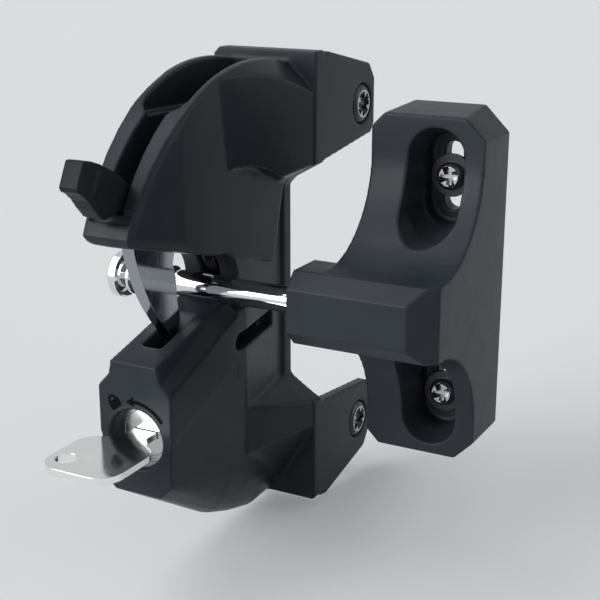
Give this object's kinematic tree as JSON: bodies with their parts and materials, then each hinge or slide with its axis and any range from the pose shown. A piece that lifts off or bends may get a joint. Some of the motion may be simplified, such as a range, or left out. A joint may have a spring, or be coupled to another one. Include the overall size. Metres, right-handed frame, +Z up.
{
  "type": "gate latch",
  "caption": "Key-lockable gate latch: a wide hook under a thumb lever drops over the round rod of a post-mounted striker, and a cam lock blocks it.",
  "frame": {"origin": "on the gate's front face, on the housing's centre line, halfway in height between the two side screws", "axes": "+X along the striker rod from the gate to the post, +Y into the gate, +Z up"},
  "size_m": [0.1104, 0.1473, 0.1539],
  "materials": {
    "black_polymer": "charcoal black glass-filled nylon, satin, fine moulded grain",
    "lever_polymer": "black nylon, satin",
    "polished_steel": "polished to a mirror",
    "nickel_silver": "nickel plated, lightly brushed",
    "zinc_steel": "zinc plated",
    "black_steel": "black coating",
    "brass": "plain",
    "pale_nylon": "natural nylon"
  },
  "bodies": {
    "housing_body": {"housing": "black_polymer", "back_cover": "zinc_steel", "cover_screws": "zinc_steel", "bar_carrier": "pale_nylon", "pivot_pin": "zinc_steel", "spacer_washers": "pale_nylon", "side_screws": "zinc_steel", "upper_screw": "black_steel", "lock_barrel": "nickel_silver", "barrel_screw": "zinc_steel"},
    "hook_body": {"hook": "polished_steel", "hook_bush": "brass", "thumb_lever": "lever_polymer", "hook_rivets": "zinc_steel"},
    "plug_body": {"lock_plug": "nickel_silver", "lock_wafers": "brass", "lock_cam": "zinc_steel", "cam_screw": "zinc_steel"},
    "bar_body": {"lock_bar": "zinc_steel"},
    "key_body": {"key": "nickel_silver"},
    "post_screws": {"striker_screws": "zinc_steel", "striker_washers": "black_steel"},
    "bracket_body": {"striker_bracket": "black_polymer", "arm_bush": "pale_nylon", "rod_set_screw": "zinc_steel"},
    "rod_body": {"striker_rod": "polished_steel", "rod_end_cap": "polished_steel"}
  },
  "joints": [
    {"name": "latch", "type": "hinge", "parent": "housing_body", "child": "hook_body", "pos_m": [0, -0.025, 0.005], "axis": [-1, 0, 0], "range_deg": [0, 32]},
    {"name": "lock_turn", "type": "hinge", "parent": "housing_body", "child": "plug_body", "pos_m": [0, -0.0745, -0.0283], "axis": [0, 1, 0], "range_deg": [-90, 0]},
    {"name": "lock_bar_slide", "type": "slide", "parent": "housing_body", "child": "bar_body", "axis": [0, 0, 1], "range_m": [0, 0.006]},
    {"name": "key_slide", "type": "slide", "parent": "plug_body", "child": "key_body", "axis": [0, -1, 0], "range_m": [0, 0.03]},
    {"name": "gate_play", "type": "slide", "parent": "housing_body", "child": "post_screws", "axis": [0, -1, 0], "range_m": [0, 0.006]},
    {"name": "striker_height", "type": "slide", "parent": "post_screws", "child": "bracket_body", "axis": [0, 0, 1], "range_m": [-0.001, 0.003]},
    {"name": "rod_reach", "type": "slide", "parent": "bracket_body", "child": "rod_body", "axis": [1, 0, 0], "range_m": [-0.005, 0.005]}
  ],
  "couplings": [
    {"joint": "lock_bar_slide", "follows": "lock_turn", "m_per_rad": -0.003782}
  ]
}
